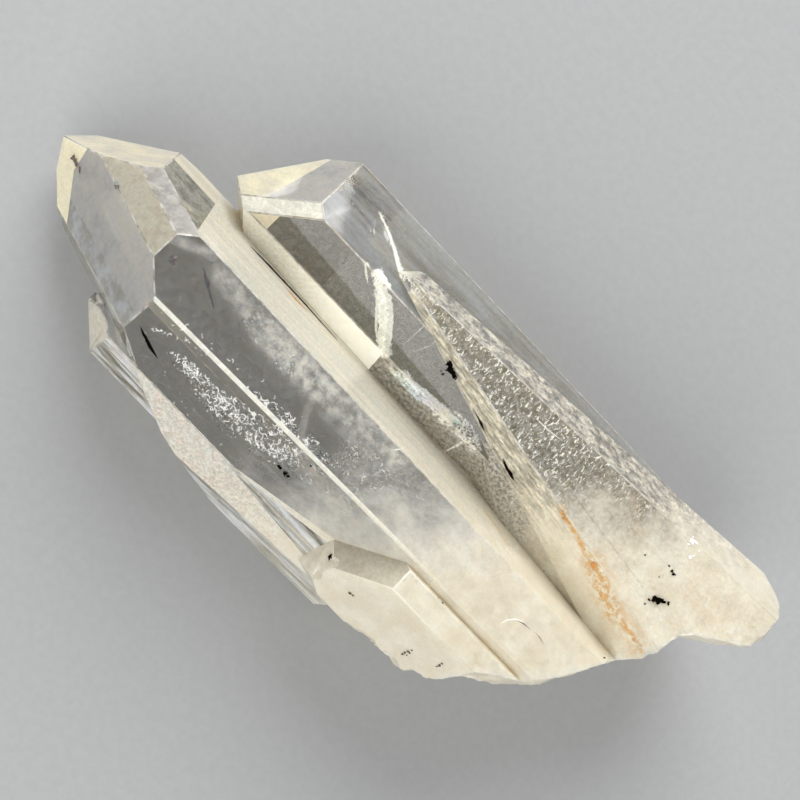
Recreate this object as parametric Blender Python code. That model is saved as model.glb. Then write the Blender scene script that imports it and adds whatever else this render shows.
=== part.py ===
"""Quartz cluster: two large parallel quartz crystals with smaller ones grown into one body.

The crystals lie on their side.  Their tips point to -X and the broken root end points to +X.
The main crystal lies on its bottom prism face, which is level with the ground plane Z = 0.
Every crystal is the space inside its own crystal faces: six prism faces around the long axis,
sloping tip faces above them, and the narrow shoulder faces between a tip face and a prism face.
All lengths are written in millimetres and turned into metres when the meshes are made.
The finished body is moved level so that the middle of its bounding box stands on the origin.
"""
import math

import bmesh
import bpy
from mathutils import Vector, noise

MM = 0.001

# Quartz angles: how far a tip face or a shoulder face leans from the prism face towards the tip
TIP_LEAN = 38.2
SHOULDER_LEAN = 24.4
# A face that leans all the way back closes the root end of a crystal
ROOTWARD = -90.0

# Half size of the block every crystal is cut from
BLANK_REACH = 160.0

# Main crystal, with its top prism face level and its bottom prism face on the ground
MAIN_CENTRE = (0.0, 0.0, 12.0)
MAIN_TURN = (0.0, 0.0, 0.0)
MAIN_FACES = {
    "top": (0, 0, 12.0),
    "upper_right": (60, 0, 9.86),
    "upper_left": (-60, -1.3, 8.9),
    "ridge_strip": (-30, -0.75, 11.9),
    "lower_left": (-120, 0, 6.7),
    "lower_right": (120, 0, 13.3),
    "lower_right_taper": (120, 13, 21.0),
    "ground": (180, 0, 12.0),
    "tip_upper_left": (-60, TIP_LEAN, 25.7),
    "tip_top": (0, TIP_LEAN, 29.8),
    "tip_upper_right": (60, TIP_LEAN, 32.0),
    "tip_lower_left": (-120, TIP_LEAN, 31.2),
    "tip_lower_right": (120, TIP_LEAN, 38.6),
    "tip_under": (180, TIP_LEAN, 35.0),
    "shoulder_right": (30, SHOULDER_LEAN, 24.3),
    "shoulder_left": (-92, 21, 17.5),
    "root": (0, ROOTWARD, 70.0),
}

# Second crystal, beside the main one, turned about its long axis and dipping a little to its tip
SECOND_CENTRE = (0.0, 18.0, 10.0)
SECOND_TURN = (-0.2, -3.8, -36.8)
SECOND_FACES = {
    "upper_left": (0, 0, 9.2),
    "upper_right": (60, 0, 9.8),
    "edge_strip": (-30, 0, 8.0),
    "left": (-60, 0, 7.0),
    "right": (120, 0, 9.4),
    "under_left": (-120, 0, 8.2),
    "under_right": (180, 0, 8.2),
    "tip_upper_right": (60, TIP_LEAN, 22.2),
    "tip_left": (-60, TIP_LEAN, 22.0),
    "tip_right": (120, TIP_LEAN, 22.0),
    "tip_under_left": (-120, TIP_LEAN, 22.6),
    "tip_under_right": (180, TIP_LEAN, 16.5),
    "shoulder": (30, SHOULDER_LEAN, 19.0),
    "root": (0, ROOTWARD, 72.0),
}

# Tapered crystal riding on the second one, its tip part way along
TAPER_CENTRE = (-9.5, 19.8, 20.5)
TAPER_TURN = (0.0, 0.0, 0.0)
TAPER_FACES = {
    "top": (0, 4, 0.9),
    "left": (-54, 10.4, 1.2),
    "right": (50, 5, 0.7),
    "lower_left": (-110, 14.5, 1.25),
    "lower_right": (120, 5, 3.0),
    "under": (180, 5, 8.0),
    "tip_left": (-60, TIP_LEAN, 1.2),
    "tip_right": (60, TIP_LEAN, 1.2),
    "root": (0, ROOTWARD, 76.0),
}

# Wedge of quartz that fills the groove between the two large crystals towards the root
WEDGE_CENTRE = (8.0, 13.0, 14.0)
WEDGE_TURN = (0.0, 0.0, 0.0)
WEDGE_FACES = {
    "groove": (-73, 18.5, 0.8),
    "below_taper_left": (-54, 10.4, 2.2),
    "below_taper_top": (0, 4, 8.0),
    "left": (-100, 8, 8.0),
    "right": (60, 0, 4.0),
    "under": (180, 0, 10.0),
    "tip": (30, TIP_LEAN, 3.0),
    "root": (0, ROOTWARD, 58.0),
}

# Frosted side crystal along the lower left flank of the main one
SIDE_CENTRE = (0.0, -8.0, 8.0)
SIDE_TURN = (0.0, 0.0, 0.0)
SIDE_FACES = {
    "top": (0, 0, 6.0),
    "upper_left": (-60, 0, 4.0),
    "left": (-82, -2.25, 3.73),
    "lower_left": (-120, 0.5, 5.85),
    "upper_right": (60, 0, 5.0),
    "lower_right": (120, 0, 5.0),
    "under": (180, 0, 6.5),
    "shoulder_lower_left": (-120, 16.4, 7.28),
    "tip_lower_left": (-120, 27.3, 10.18),
    "tip_upper_right": (60, TIP_LEAN, 18.0),
    "tip_under": (180, TIP_LEAN, 20.0),
    "root": (0, ROOTWARD, 52.0),
}

# Small crystal low on the left, its tip behind the side of the main crystal
LOW_CENTRE = (-22.0, -7.5, 7.0)
LOW_TURN = (0.0, 0.0, 0.0)
LOW_FACES = {
    "top": (0, 0, 3.4),
    "upper_left": (-60, 0, 2.7),
    "lower_left": (-120, 0, 3.0),
    "upper_right": (60, 0, 4.0),
    "lower_right": (120, 0, 4.0),
    "under": (180, 0, 4.5),
    "tip_upper_left": (-60, TIP_LEAN, 6.8),
    "tip_lower_left": (-120, TIP_LEAN, 7.1),
    "tip_top": (0, TIP_LEAN, 8.1),
    "tip_upper_right": (60, TIP_LEAN, 8.0),
    "root": (0, ROOTWARD, 14.0),
}

# Front crystal near the root, with a broken tip
FRONT_CENTRE = (8.0, -8.0, 14.0)
FRONT_TURN = (0.0, 0.0, 0.0)
FRONT_FACES = {
    "top": (0, 0, 9.4),
    "upper_left": (-60, 0, 3.9),
    "shoulder_left": (-92, 21, 3.9),
    "lower_left": (-120, 0, 3.7),
    "upper_right": (60, 0, 8.0),
    "under": (180, 0, 7.0),
    "tip_top": (0, TIP_LEAN, 4.7),
    "tip_upper_left": (-60, TIP_LEAN, 5.0),
    "broken_tip": (-54.2, 56.0, 3.39),
    "root": (0, ROOTWARD, 49.0),
}

# Broken root end: plan of the fracture as (x, y), walked from the front side to the far side
ROOT_PLAN = (
    (1.0, -34.0),
    (11.1, -12.8),
    (13.9, -11.9),
    (16.9, -11.4),
    (19.6, -11.6),
    (22.4, -11.2),
    (24.5, -9.9),
    (26.0, -7.4),
    (29.8, -5.3),
    (33.6, -1.7),
    (36.8, 3.9),
    (38.9, 7.1),
    (40.3, 9.6),
    (41.4, 13.4),
    (42.6, 14.9),
    (46.2, 17.4),
    (48.2, 18.9),
    (49.2, 21.4),
    (49.2, 24.2),
    (47.6, 26.6),
    (44.8, 28.8),
    (42.0, 36.0),
)
# Point inside the cluster that the fracture surface surrounds
ROOT_MIDDLE = (20.0, 10.0)
# Height of the widest line of the fracture, and how far it draws in above and below that line
ROOT_CREST_HEIGHT = 18.0
ROOT_DRAW_ABOVE = 0.02
ROOT_DRAW_BELOW = 0.014
ROOT_BOTTOM = -4.0
ROOT_TOP = 34.0
ROOT_COLUMN_WIDTH = 1.5
ROOT_ROWS = 26
ROOT_CUTTER_DEPTH = 60.0
# Shell-shaped dishes of the fracture: a coarse and a fine set, each by size and depth
ROOT_DISHES = ((8.0, 1.6), (3.1, 0.45))
# Share of a dish's depth that stays inside the plan line, and the rim where a dish levels out
ROOT_DISH_INSET = 0.3
ROOT_DISH_RIM = 1.0

# Small chips struck from edges: a point on the edge, the direction the edge faces, ball radius
CHIPS = (
    ((19.4, -11.6, 14.0), (0.2, -0.9, 0.4), 2.4),
    ((23.0, -11.0, 15.2), (0.5, -0.8, 0.3), 2.6),
    ((26.2, -7.4, 19.0), (0.6, -0.6, 0.5), 2.2),
    ((16.2, -11.3, 12.6), (0.1, -0.9, 0.4), 1.8),
    ((40.3, 10.4, 21.8), (0.8, -0.2, 0.6), 2.2),
    ((50.2, 23.4, 19.8), (0.9, 0.1, 0.4), 2.6),
    ((-41.4, 2.9, 17.4), (-0.7, -0.4, 0.6), 1.1),
    ((6.4, -9.2, 18.7), (-0.8, -0.1, 0.6), 1.2),
    ((6.5, -11.0, 16.4), (-0.7, -0.7, 0.2), 1.4),
)
CHIP_DEPTH_SHARE = 0.3
# Unevenness of a chip's ball: height as a share of the radius, waves per radius, step between chips
CHIP_ROUGHNESS = 0.12
CHIP_WAVES = 1.7
CHIP_PATTERN_STEP = 3.1

# Depth of the block that levels the underside at the ground plane
GROUND_TRIM = 30.0
# Points nearer than this are one point, and points this near a face plane lie on it (in metres)
MERGE_DISTANCE = 0.00002
ON_PLANE_DISTANCE = 0.0000002


def clear_scene():
    for item in list(bpy.data.objects):
        bpy.data.objects.remove(item, do_unlink=True)


def crystal_axes(turn):
    """Long axis towards the tip, the level side direction and the upward direction."""
    yaw, pitch, _ = (math.radians(angle) for angle in turn)
    tipward = Vector((-math.cos(pitch) * math.cos(yaw), -math.cos(pitch) * math.sin(yaw), math.sin(pitch)))
    side = Vector((0.0, 0.0, 1.0)).cross(-tipward).normalized()
    top = (-tipward).cross(side)
    return tipward, side, top


def face_normal(turn, around, lean):
    """Outward direction of a face at an angle around the long axis, leaning towards the tip."""
    tipward, side, top = crystal_axes(turn)
    angle = math.radians(around + turn[2])
    outward = math.cos(angle) * top + math.sin(angle) * side
    return math.cos(math.radians(lean)) * outward + math.sin(math.radians(lean)) * tipward


def mesh_object(name, mesh_data):
    mesh = bpy.data.meshes.new(name)
    mesh_data.to_mesh(mesh)
    mesh_data.free()
    item = bpy.data.objects.new(name, mesh)
    bpy.context.collection.objects.link(item)
    return item


def make_crystal(name, centre, turn, faces):
    """Convex crystal: a block cut down by every face plane, each cut closed with a flat cap."""
    mesh_data = bmesh.new()
    bmesh.ops.create_cube(mesh_data, size=2.0 * BLANK_REACH * MM)
    for around, lean, distance in faces.values():
        normal = face_normal(turn, around, lean)
        point = (Vector(centre) + normal * distance) * MM
        cut = bmesh.ops.bisect_plane(
            mesh_data,
            geom=mesh_data.verts[:] + mesh_data.edges[:] + mesh_data.faces[:],
            dist=ON_PLANE_DISTANCE,
            plane_co=point,
            plane_no=normal,
            clear_outer=True,
        )
        rim = [item for item in cut["geom_cut"] if isinstance(item, bmesh.types.BMEdge)]
        if len(rim) >= 3:
            bmesh.ops.edgeloop_fill(mesh_data, edges=rim)
    bmesh.ops.remove_doubles(mesh_data, verts=mesh_data.verts[:], dist=MERGE_DISTANCE)
    bmesh.ops.recalc_face_normals(mesh_data, faces=mesh_data.faces[:])
    return mesh_object(name, mesh_data)


def root_plan_points():
    """Points along the plan line at even steps."""
    points = []
    for start, end in zip(ROOT_PLAN, ROOT_PLAN[1:]):
        start, end = Vector(start), Vector(end)
        steps = max(1, round((end - start).length / ROOT_COLUMN_WIDTH))
        points.extend(start.lerp(end, step / steps) for step in range(steps))
    points.append(Vector(ROOT_PLAN[-1]))
    return points


def root_point(plan, height):
    """Point of the fracture surface: the plan line, drawn in above and below, hollowed by dishes."""
    outward = (plan - Vector(ROOT_MIDDLE)).normalized()
    rise = height - ROOT_CREST_HEIGHT
    offset = -(ROOT_DRAW_ABOVE if rise > 0 else ROOT_DRAW_BELOW) * rise * rise
    place = Vector((plan.x, plan.y, height))
    for size, depth in ROOT_DISHES:
        nearest = noise.voronoi(place / size)[0][0]
        offset += depth * (min(nearest, ROOT_DISH_RIM) ** 2 - ROOT_DISH_INSET)
    moved = plan + outward * offset
    return Vector((moved.x, moved.y, height)) * MM


def make_root_cutter():
    """Solid that takes away everything beyond the broken root end."""
    mesh_data = bmesh.new()
    wall = []
    for plan in root_plan_points():
        line = []
        for row in range(ROOT_ROWS + 1):
            height = ROOT_BOTTOM + (ROOT_TOP - ROOT_BOTTOM) * row / ROOT_ROWS
            line.append(mesh_data.verts.new(root_point(plan, height)))
        wall.append(line)
    middle = Vector((ROOT_MIDDLE[0], ROOT_MIDDLE[1], 0.0)) * MM
    back = []
    for line in wall:
        away = (line[0].co - middle)
        away.z = 0.0
        away.normalize()
        low = line[0].co + away * ROOT_CUTTER_DEPTH * MM
        high = line[-1].co + away * ROOT_CUTTER_DEPTH * MM
        low.z = ROOT_BOTTOM * MM
        high.z = ROOT_TOP * MM
        back.append((mesh_data.verts.new(low), mesh_data.verts.new(high)))
    for column in range(len(wall) - 1):
        for row in range(ROOT_ROWS):
            mesh_data.faces.new((
                wall[column][row], wall[column][row + 1],
                wall[column + 1][row + 1], wall[column + 1][row],
            ))
        here, there = back[column], back[column + 1]
        mesh_data.faces.new((here[0], there[0], there[1], here[1]))
        mesh_data.faces.new((wall[column][0], wall[column + 1][0], there[0], here[0]))
        mesh_data.faces.new((wall[column][-1], here[1], there[1], wall[column + 1][-1]))
    mesh_data.faces.new(wall[0] + [back[0][1], back[0][0]])
    mesh_data.faces.new(list(reversed(wall[-1])) + [back[-1][0], back[-1][1]])
    bmesh.ops.triangulate(mesh_data, faces=mesh_data.faces[:])
    bmesh.ops.recalc_face_normals(mesh_data, faces=mesh_data.faces[:])
    return mesh_object("root_cutter", mesh_data)


def make_chip_cutter(index, edge_point, facing, radius):
    """Slightly uneven ball whose surface leaves a shell-shaped scar on an edge."""
    mesh_data = bmesh.new()
    bmesh.ops.create_icosphere(mesh_data, subdivisions=2, radius=radius * MM)
    for vertex in mesh_data.verts:
        pattern_start = Vector((index * CHIP_PATTERN_STEP, 0.0, 0.0))
        wave = noise.noise(vertex.co / (radius * MM) * CHIP_WAVES + pattern_start)
        vertex.co *= 1.0 + CHIP_ROUGHNESS * wave
    stand_off = radius * (1.0 - CHIP_DEPTH_SHARE)
    centre = Vector(edge_point) + Vector(facing).normalized() * stand_off
    bmesh.ops.translate(mesh_data, verts=mesh_data.verts[:], vec=centre * MM)
    return mesh_object("chip_cutter_%d" % index, mesh_data)


def make_ground_cutter():
    """Block below the ground plane; it levels whatever reaches under it."""
    mesh_data = bmesh.new()
    bmesh.ops.create_cube(mesh_data, size=2.0 * BLANK_REACH * MM)
    for vertex in mesh_data.verts:
        vertex.co.z = 0.0 if vertex.co.z > 0 else -GROUND_TRIM * MM
    return mesh_object("ground_cutter", mesh_data)


def combine(target, tool, operation):
    """Apply one exact Boolean and remove the tool body."""
    tool.hide_render = True
    tool.display_type = "WIRE"
    modifier = target.modifiers.new(operation.lower(), "BOOLEAN")
    modifier.operation = operation
    modifier.solver = "EXACT"
    modifier.object = tool
    depsgraph = bpy.context.evaluated_depsgraph_get()
    result = bpy.data.meshes.new_from_object(target.evaluated_get(depsgraph))
    target.modifiers.clear()
    old = target.data
    target.data = result
    bpy.data.meshes.remove(old)
    bpy.data.objects.remove(tool, do_unlink=True)


def tidy_surface(item):
    """Merge doubled points, drop slivers and turn every polygon into triangles."""
    mesh_data = bmesh.new()
    mesh_data.from_mesh(item.data)
    bmesh.ops.remove_doubles(mesh_data, verts=mesh_data.verts[:], dist=MERGE_DISTANCE)
    bmesh.ops.dissolve_degenerate(mesh_data, edges=mesh_data.edges[:], dist=MERGE_DISTANCE)
    bmesh.ops.triangulate(mesh_data, faces=mesh_data.faces[:])
    bmesh.ops.recalc_face_normals(mesh_data, faces=mesh_data.faces[:])
    mesh_data.to_mesh(item.data)
    mesh_data.free()


def stand_on_origin(item):
    """Slide the body level so that the middle of its bounding box is above the origin."""
    mesh = item.data
    for axis in (0, 1):
        reach = [vertex.co[axis] for vertex in mesh.vertices]
        middle = 0.5 * (min(reach) + max(reach))
        for vertex in mesh.vertices:
            vertex.co[axis] -= middle


def quartz_material():
    material = bpy.data.materials.new("quartz")
    material.use_nodes = True
    shader = material.node_tree.nodes["Principled BSDF"]
    shader.inputs["Base Color"].default_value = (0.78, 0.77, 0.73, 1.0)
    shader.inputs["Roughness"].default_value = 0.08
    shader.inputs["IOR"].default_value = 1.544
    shader.inputs["Transmission Weight"].default_value = 1.0
    return material


def build():
    clear_scene()
    body = make_crystal("quartz_cluster", MAIN_CENTRE, MAIN_TURN, MAIN_FACES)
    grown_on = (
        ("second_crystal", SECOND_CENTRE, SECOND_TURN, SECOND_FACES),
        ("taper_crystal", TAPER_CENTRE, TAPER_TURN, TAPER_FACES),
        ("wedge", WEDGE_CENTRE, WEDGE_TURN, WEDGE_FACES),
        ("side_crystal", SIDE_CENTRE, SIDE_TURN, SIDE_FACES),
        ("low_crystal", LOW_CENTRE, LOW_TURN, LOW_FACES),
        ("front_crystal", FRONT_CENTRE, FRONT_TURN, FRONT_FACES),
    )
    for name, centre, turn, faces in grown_on:
        combine(body, make_crystal(name, centre, turn, faces), "UNION")
    combine(body, make_root_cutter(), "DIFFERENCE")
    for index, (edge_point, facing, radius) in enumerate(CHIPS):
        combine(body, make_chip_cutter(index, edge_point, facing, radius), "DIFFERENCE")
    combine(body, make_ground_cutter(), "DIFFERENCE")
    tidy_surface(body)
    stand_on_origin(body)
    body.data.materials.clear()
    body.data.materials.append(quartz_material())
    return body


build()
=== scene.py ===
"""Looks of a quartz cluster: its clear body, what is enclosed in it, and the stage around it.

Lengths named in millimetres are turned into metres where they are used.  A place that was read from
a photograph is given as its pixel in an 800 x 800 picture taken by the scene's own camera, and
is turned into a point on the quartz, or inside it, by following the ray of light through that pixel.
"""
import math

import bmesh
import bpy
from mathutils import Matrix, Vector, noise
from mathutils.bvhtree import BVHTree


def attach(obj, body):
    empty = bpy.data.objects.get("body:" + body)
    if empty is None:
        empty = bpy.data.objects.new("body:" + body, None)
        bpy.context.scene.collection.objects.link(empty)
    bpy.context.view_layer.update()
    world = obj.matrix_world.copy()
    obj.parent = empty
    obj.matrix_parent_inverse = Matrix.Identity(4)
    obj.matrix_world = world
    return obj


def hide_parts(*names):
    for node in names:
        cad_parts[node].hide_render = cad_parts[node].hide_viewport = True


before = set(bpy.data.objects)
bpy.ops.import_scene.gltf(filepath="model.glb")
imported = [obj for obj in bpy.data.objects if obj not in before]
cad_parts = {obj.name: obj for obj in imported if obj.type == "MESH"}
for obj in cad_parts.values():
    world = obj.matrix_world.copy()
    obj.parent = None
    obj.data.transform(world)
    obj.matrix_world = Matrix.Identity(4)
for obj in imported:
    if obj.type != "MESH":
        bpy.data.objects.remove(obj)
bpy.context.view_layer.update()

bl_info = {
    "name": "Quartz Cluster",
    "version": (1, 0, 0),
    "blender": (4, 5, 0),
    "location": "3D Viewport > Sidebar > Quartz",
    "description": "Dresses a lying cluster of quartz crystals and sets its stage",
    "category": "Object",
}

CAD_NODE = "quartz_cluster"
BODY = "root"
MM = 0.001

# The camera, at the photograph's viewing angle
PICTURE_SIZE = 800
SENSOR_WIDTH = 36.0
LENS = 85.0
CAMERA_AZIMUTH = math.radians(-34.24)
CAMERA_ELEVATION = math.radians(73.47)
CAMERA_ROLL = math.radians(80.08)
CAMERA_TARGET = Vector((0.045, 3.973, 10.0)) * MM
CAMERA_DISTANCE = 227.58 * MM

# Lights: directions from the part, widths and distance in metres, and colour of the surroundings
KEY_DIRECTION = (-0.42, 0.74, 0.62)
KEY_WIDTH = 0.9
FILL_DIRECTION = (0.1, -0.75, 0.62)
FILL_WIDTH = 1.0
LIGHT_DISTANCE = 1.0
SKY_COLOUR = (0.97, 0.98, 1.0, 1.0)
FLOOR_DROP = 0.05 * MM
FLOOR_NOISE = (0.9, 4.0, 0.6)

# Optics of quartz; the milk under its surface scatters light over a few millimetres
QUARTZ_IOR = 1.544
SCATTER_SHARE = 0.7
SCATTER_RADIUS = (1.0, 0.85, 0.7)
SCATTER_REACH = 2.4 * MM

# Noise patterns: waves for each millimetre, detail, roughness, distortion
WISP_NOISE = (0.16, 5.0, 0.66, 0.3)
MILK_NOISE = (0.35, 5.0)
ROOT_NOISE = (0.5, 6.0, 0.75)
STAIN_NOISE = (1.3, 4.0, 0.75)
HAZE_NOISE = (0.8, 6.0, 0.7)
STROKE_NOISE = (1.0, 3.0, 0.6, 0.9)
SPECKLE_NOISE = (2.3, 4.0, 0.75)
TONE_NOISE = (1.3, 3.0)

# How patterns are drawn out: streaks along the crystals, growth marks across them
STREAK_STRETCH = (0.10, 1.0, 1.0)
STROKE_STRETCH = (3.6, 1.5, 1.5)

# Finishes of the crystal body, numbered in the order of their looks below
(CLEAR, WORN_EDGE, HILLOCKS, FROSTED, FRACTURE, PALE, BEIGE,
 BLUISH, LILAC, OLIVE, CREAM, STREAKY, SPARKLING, MISTED, SHADED_PATCH, STRIPED,
 GLARING, SATIN, RIDGE, SUNLIT, DIM, GRANULAR, WINDOW, COOL) = range(24)

# Lines that part a crystal face into two finishes: a pixel on the face, then two on the line
FACE_CUTS = (
    ((64, 175), (88, 147), (74, 170)),
    ((64, 200), (74, 170), (68, 214)),
    ((255, 180), (270, 196), (334, 158)),
    ((262, 221), (281, 214), (265, 231)),
    ((120, 220), (84, 222), (119, 284)),
    ((180, 175), (196, 233), (214, 206)),
    ((180, 175), (171, 156), (226, 216)),
    ((350, 335), (392, 343), (368, 370)),
    ((250, 420), (243, 474), (333, 538)),
    ((285, 516), (243, 477), (333, 547)),
    ((220, 480), (238, 476), (304, 556)),
)

# Pixels on the crystal faces that aren't plain and clear, under the finish those faces get
FACE_FINISHES = {
    # Painted light: faint glow on the tip's outer faces and in the crease along the front crystal.
    SUNLIT: ((62, 170), (64, 204), (486, 650)),
    # Beige: partly the tip faces' warm tint, partly a painted reflection of warm light.
    BEIGE: ((120, 140), (205, 184), (260, 180), (258, 219), (239, 216)),
    LILAC: ((120, 220), (320, 185)),
    BLUISH: ((400, 240),),
    COOL: ((87, 246),),
    OLIVE: ((150, 200), (350, 560)),
    MISTED: ((165, 195),),
    # Painted shade: a dark patch on the main crystal's tip face.
    SHADED_PATCH: ((180, 175),),
    CREAM: ((300, 330), (413, 275), (95, 320)),
    PALE: ((290, 207), (285, 508)),
    WINDOW: ((230, 340), (200, 400)),
    # Painted light: the side band shaded by the main crystal glows.
    GLARING: ((350, 335),),
    SPARKLING: ((415, 410), (480, 484), (490, 480)),
    # Painted shade: grey that darkens the second crystal's clear window.
    DIM: ((330, 240),),
    GRANULAR: ((560, 402),),
    HILLOCKS: ((560, 440),),
    STRIPED: ((540, 500),),
    STREAKY: ((110, 370), (270, 511), (247, 530), (285, 516)),
    FROSTED: ((185, 428),),
    RIDGE: ((300, 444),),
    FRACTURE: ((315, 560),),
    SATIN: ((400, 620),),
}

# Root fracture: outward direction in plan, and how far along it the quartz turns from clear to milky
ROOT_DIRECTION = (0.70, -0.72, 0.0)
MILK_RANGE = (-0.5, 22.0)
TAPER_MILK_RANGE = (2.0, 19.0)
LATE_MILK_RANGE = (9.0, 32.0)
MILK_WANDER = 15.0

# Painted light: the bright side band, shaded by the main crystal, glows more and more from the first
# pixel to the second
GLARE_ENDS = ((262, 238), (350, 330))
FAINTEST_GLOW = 0.12

# The milky root: how rough and speckled it is, and from where small faces turned to it are broken ones
ROOT_ROUGHNESS = 0.28
ROOT_SPECKLE = 0.07
FRACTURE_START = 15.0
FRACTURE_TURN = 0.15
LARGEST_FRACTURE_FACE = 4.0 * MM * MM


def look(roughness, clear_share, mottling, waves, relief=0.0, relief_waves=0.0, speckle=0.12, **more):
    """How rough, clear and mottled a finish is; reliefs in millimetres, waves for each millimetre."""
    return dict(roughness=roughness, clear_share=clear_share, mottling=mottling, waves=waves,
                relief=relief, relief_waves=relief_waves, speckle=speckle, **more)


# Name, tint and second tint of each finish, in the order of their numbers
FINISH_LOOKS = (
    ("clear_quartz", "clear", None, look(0.012, 0.96, 0.06, 1.6, 0.004, 0.6, 0.05)),
    ("worn_edge", "lilac", "cream", look(0.25, 0.78, 0.75, 0.9)),
    ("hillock_face", "lilac", "olive", look(0.03, 0.95, 0.3, 1.6, 0.12, 1.3, strokes=True,
                                            milk_range=TAPER_MILK_RANGE, marked=True)),
    ("frosted_face", "rosy", "pale", look(0.35, 0.26, 0.8, 0.45, 0.04, 2.6, 0.30)),
    ("fracture", "cream", "pale", look(0.32, 0.35, 0.4, 1.2, 0.05, 2.0, 0.18)),
    ("pale_face", "pale", None, look(0.14, 0.30, 0.6, 0.9, 0.015, 2.0, 0.15, streaks=True)),
    ("beige_face", "beige", "cream", look(0.10, 0.36, 0.4, 0.45, 0.008, 1.5, 0.08, streaks=True)),
    ("bluish_face", "bluish", "clear", look(0.03, 0.92, 0.25, 0.7, 0.004, 0.8, 0.15, streaks=True)),
    ("lilac_face", "lilac", "clear", look(0.05, 0.72, 0.3, 0.5, 0.006, 0.8, 0.08)),
    ("olive_face", "olive", "cream", look(0.06, 0.62, 0.35, 0.6, 0.012, 1.2,
                                          milk_range=LATE_MILK_RANGE)),
    ("cream_face", "cream", "pale", look(0.26, 0.42, 0.5, 0.8, 0.01, 1.5, 0.14, streaks=True,
                                         marked=True)),
    ("streaky_face", "clear", "pale", look(0.05, 0.96, 0.85, 1.3, 0.02, 1.2, streaks=True,
                                           milk_range=LATE_MILK_RANGE)),
    ("sparkling_face", "lilac", "pale", look(0.05, 0.85, 0.7, 2.2, 0.12, 1.6, 0.6)),
    ("misted_face", "lilac", None, look(0.30, 0.70, 0.4, 0.9, 0.02, 1.4, 0.16)),
    # Painted shade: dark grey-green finish for a patch of the main crystal's tip face.
    ("shade_patch_face", "shade_patch", "olive", look(0.08, 0.64, 0.4, 0.55, 0.04, 1.5, 0.35)),
    ("striped_face", "cream", "olive", look(0.08, 0.80, 0.9, 2.4, 0.03, 2.0, 0.3, streaks=True,
                                            milk_range=TAPER_MILK_RANGE, marked=True)),
    # Painted light: a pale face that glows more and more along the band.
    ("glaring_face", "pale", None, look(0.15, 0.15, 0.5, 0.9, 0.015, 2.0, 0.15, streaks=True,
                                        glow=0.42, glow_ends=GLARE_ENDS)),
    ("satin_face", "cream", "pale", look(0.22, 0.40, 0.35, 0.35, 0.008, 0.9, 0.05)),
    ("ridge_strip", "pale", None, look(0.25, 0.35, 0.5, 0.9)),
    # Painted light: faint glow on the tip's outer faces and in the crease along the front crystal.
    ("sunlit_face", "beige", None, look(0.12, 0.22, 0.4, 0.5, 0.01, 1.5, 0.10, glow=0.12, marked=True)),
    # Painted shade: grey that darkens the second crystal's clear window.
    ("dim_face", "dim", None, look(0.02, 0.86, 0.12, 1.2, 0.004, 0.8, 0.3)),
    ("granular_face", "cream", "lilac", look(0.06, 0.84, 0.8, 0.8, 0.06, 1.8, 0.35,
                                             milk_range=TAPER_MILK_RANGE)),
    ("window_face", "clear", None, look(0.012, 0.95, 0.06, 1.6, 0.004, 0.6, 0.05, marked=True)),
    ("cool_face", "bluish", "lilac", look(0.06, 0.72, 0.3, 0.5, 0.006, 0.8, 0.08)),
)

# Iron stain: pixels at both ends of a line, the stain's half width in millimetres, its strength
STAINS = (
    ((561, 508), (600, 578), 0.8, 0.95),
    ((592, 562), (612, 612), 2.3, 0.9),
    ((606, 600), (642, 650), 0.9, 0.9),
    ((600, 590), (636, 644), 3.0, 0.45),
    ((486, 512), (508, 544), 0.8, 0.5),
    ((634, 500), (637, 535), 1.5, 0.25),
    ((690, 590), (715, 615), 2.5, 0.2),
    ((483, 648), (485, 653), 1.1, 0.6),
)

# Cream haze under the surface: pixels at both ends of a line, half width in millimetres, strength
HAZES = (
    ((172, 238), (214, 256), 1.2, 0.45),
    ((222, 274), (268, 330), 2.6, 0.5),
    ((268, 330), (325, 392), 3.6, 0.7),
    ((325, 392), (400, 455), 4.2, 0.6),
    ((300, 455), (350, 520), 2.4, 0.4),
    ((309, 402), (300, 440), 0.9, 0.35),
    ((309, 412), (324, 400), 0.5, 0.4),
    ((404, 282), (430, 296), 2.2, 0.8),
)


def length_setting(name, description, default):
    return bpy.props.FloatProperty(
        name=name, description=description, default=default * MM, min=0.0, unit="LENGTH", precision=5)


def colour_setting(name, description, default):
    return bpy.props.FloatVectorProperty(
        name=name, description=description, subtype="COLOR", size=4, default=default + (1.0,),
        min=0.0, max=1.0)


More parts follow.
